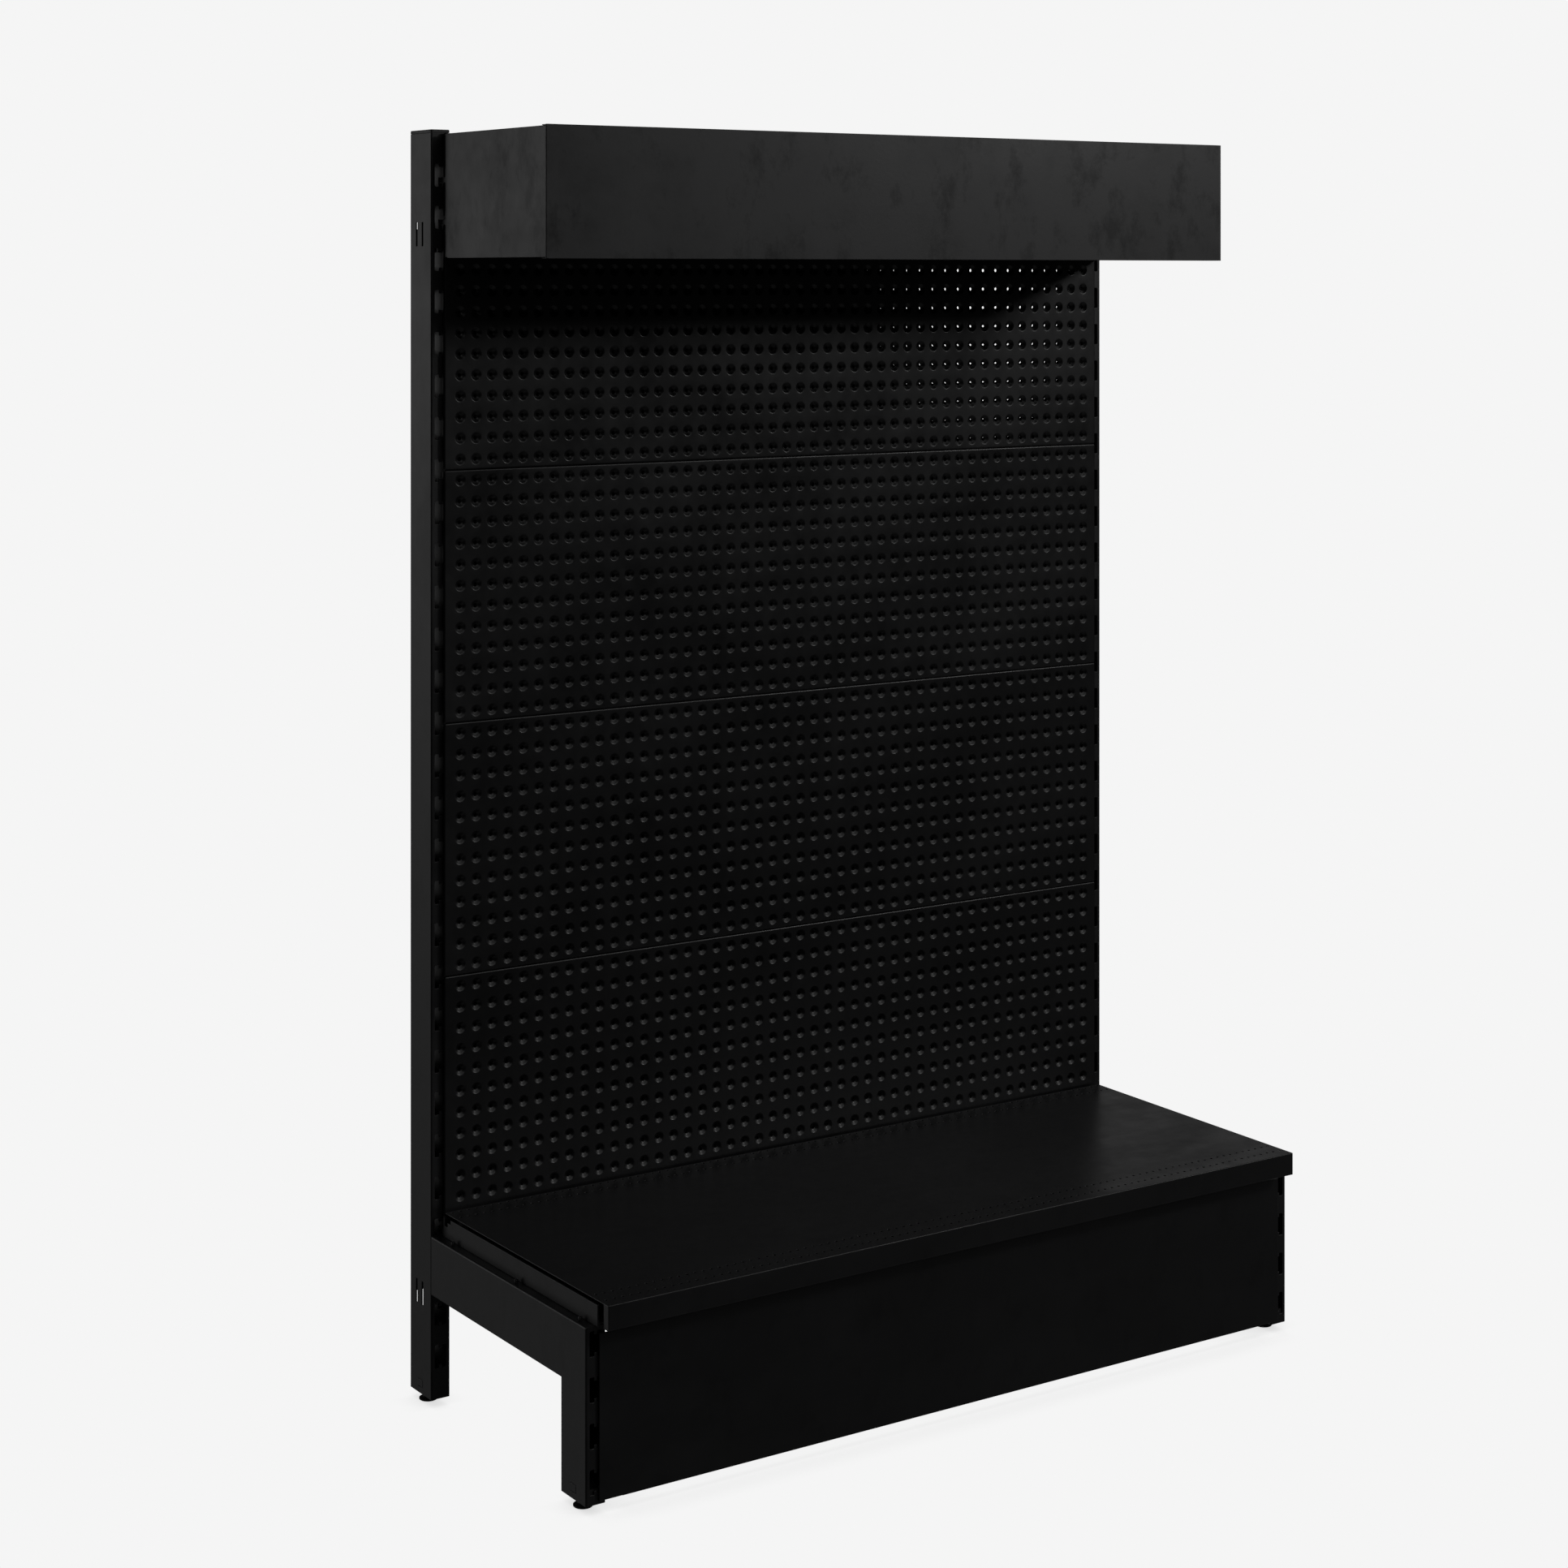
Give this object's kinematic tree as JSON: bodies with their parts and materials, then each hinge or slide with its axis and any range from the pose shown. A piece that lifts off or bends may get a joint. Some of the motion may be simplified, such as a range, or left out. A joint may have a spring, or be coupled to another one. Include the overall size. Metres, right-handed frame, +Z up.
{
  "type": "gondola shelving unit",
  "caption": "Free-standing black steel shop bay with slotted uprights, pierced back panels, low base shelf, kick plate and box header.",
  "frame": {"origin": "middle of the bay's width and of its depth, on the floor under the four feet", "axes": "+Z up; -Y is the shopper's side with shelf, kick plate and header; +X to the right for a shopper facing +Y"},
  "size_m": [1.025, 0.449, 1.514],
  "materials": {
    "painted_frame": "black satin powder coat, fine orange peel",
    "painted_panel": "black satin powder coat on pierced sheet",
    "painted_shelf": "black satin powder coat on folded sheet",
    "painted_header": "black satin powder coat, faint smudges",
    "plastic_cap": "black moulded plastic",
    "plastic_pad": "black moulded plastic",
    "zinc_stem": "bright zinc plate",
    "rivet": "painted rivet head"
  },
  "bodies": {
    "frame": {"left_upright": "painted_frame", "left_upright_cap": "plastic_cap", "left_base_leg": "painted_frame", "left_shelf_bracket": "painted_frame", "right_upright": "painted_frame", "right_upright_cap": "plastic_cap", "right_base_leg": "painted_frame", "right_shelf_bracket": "painted_frame", "left_rear_foot_insert": "plastic_cap", "left_front_foot_insert": "plastic_cap", "right_rear_foot_insert": "plastic_cap", "right_front_foot_insert": "plastic_cap", "bracket_studs": "rivet", "lower_tie_beam": "painted_frame", "upper_tie_beam": "painted_frame", "front_panel_1": "painted_panel", "front_panel_2": "painted_panel", "front_panel_3": "painted_panel", "front_panel_4": "painted_panel", "front_top_infill": "painted_panel", "rear_panel_1": "painted_panel", "rear_panel_2": "painted_panel", "rear_panel_3": "painted_panel", "rear_panel_4": "painted_panel", "rear_top_infill": "painted_panel"},
    "shelf": {"base_shelf": "painted_shelf", "shelf_stiffener": "painted_shelf", "shelf_front_stiffener": "painted_shelf"},
    "kick": {"kick_plate": "painted_shelf"},
    "header": {"header_front": "painted_header", "header_left_side": "painted_header", "header_right_side": "painted_header", "header_top": "painted_header"},
    "left_rear_foot": {"left_rear_foot_pad": "plastic_pad"},
    "left_rear_stem": {"left_rear_foot_stem": "zinc_stem"},
    "left_front_foot": {"left_front_foot_pad": "plastic_pad"},
    "left_front_stem": {"left_front_foot_stem": "zinc_stem"},
    "right_rear_foot": {"right_rear_foot_pad": "plastic_pad"},
    "right_rear_stem": {"right_rear_foot_stem": "zinc_stem"},
    "right_front_foot": {"right_front_foot_pad": "plastic_pad"},
    "right_front_stem": {"right_front_foot_stem": "zinc_stem"}
  },
  "joints": [
    {"name": "shelf_lift", "type": "slide", "parent": "frame", "child": "shelf", "axis": [0, 0, 1], "range_m": [0, 0.06]},
    {"name": "kick_plate_lift", "type": "slide", "parent": "frame", "child": "kick", "axis": [0, 0, 1], "range_m": [0, 0.0115]},
    {"name": "header_lift", "type": "slide", "parent": "frame", "child": "header", "axis": [0, 0, 1], "range_m": [0, 0.0115]},
    {"name": "left_rear_foot_extend", "type": "slide", "parent": "frame", "child": "left_rear_foot", "axis": [0, 0, -1], "range_m": [-0.003, 0.012]},
    {"name": "left_rear_stem_turn", "type": "hinge", "parent": "left_rear_foot", "child": "left_rear_stem", "pos_m": [-0.5, 0.2, 0.02], "axis": [0, 0, 1], "range_deg": [-720, 2880]},
    {"name": "left_front_foot_extend", "type": "slide", "parent": "frame", "child": "left_front_foot", "axis": [0, 0, -1], "range_m": [-0.003, 0.012]},
    {"name": "left_front_stem_turn", "type": "hinge", "parent": "left_front_foot", "child": "left_front_stem", "pos_m": [-0.5, -0.17, 0.02], "axis": [0, 0, 1], "range_deg": [-720, 2880]},
    {"name": "right_rear_foot_extend", "type": "slide", "parent": "frame", "child": "right_rear_foot", "axis": [0, 0, -1], "range_m": [-0.003, 0.012]},
    {"name": "right_rear_stem_turn", "type": "hinge", "parent": "right_rear_foot", "child": "right_rear_stem", "pos_m": [0.5, 0.2, 0.02], "axis": [0, 0, 1], "range_deg": [-720, 2880]},
    {"name": "right_front_foot_extend", "type": "slide", "parent": "frame", "child": "right_front_foot", "axis": [0, 0, -1], "range_m": [-0.003, 0.012]},
    {"name": "right_front_stem_turn", "type": "hinge", "parent": "right_front_foot", "child": "right_front_stem", "pos_m": [0.5, -0.17, 0.02], "axis": [0, 0, 1], "range_deg": [-720, 2880]}
  ],
  "couplings": [
    {"joint": "left_rear_stem_turn", "follows": "left_rear_foot_extend", "rad_per_m": 4188.8},
    {"joint": "left_front_stem_turn", "follows": "left_front_foot_extend", "rad_per_m": 4188.8},
    {"joint": "right_rear_stem_turn", "follows": "right_rear_foot_extend", "rad_per_m": 4188.8},
    {"joint": "right_front_stem_turn", "follows": "right_front_foot_extend", "rad_per_m": 4188.8}
  ]
}
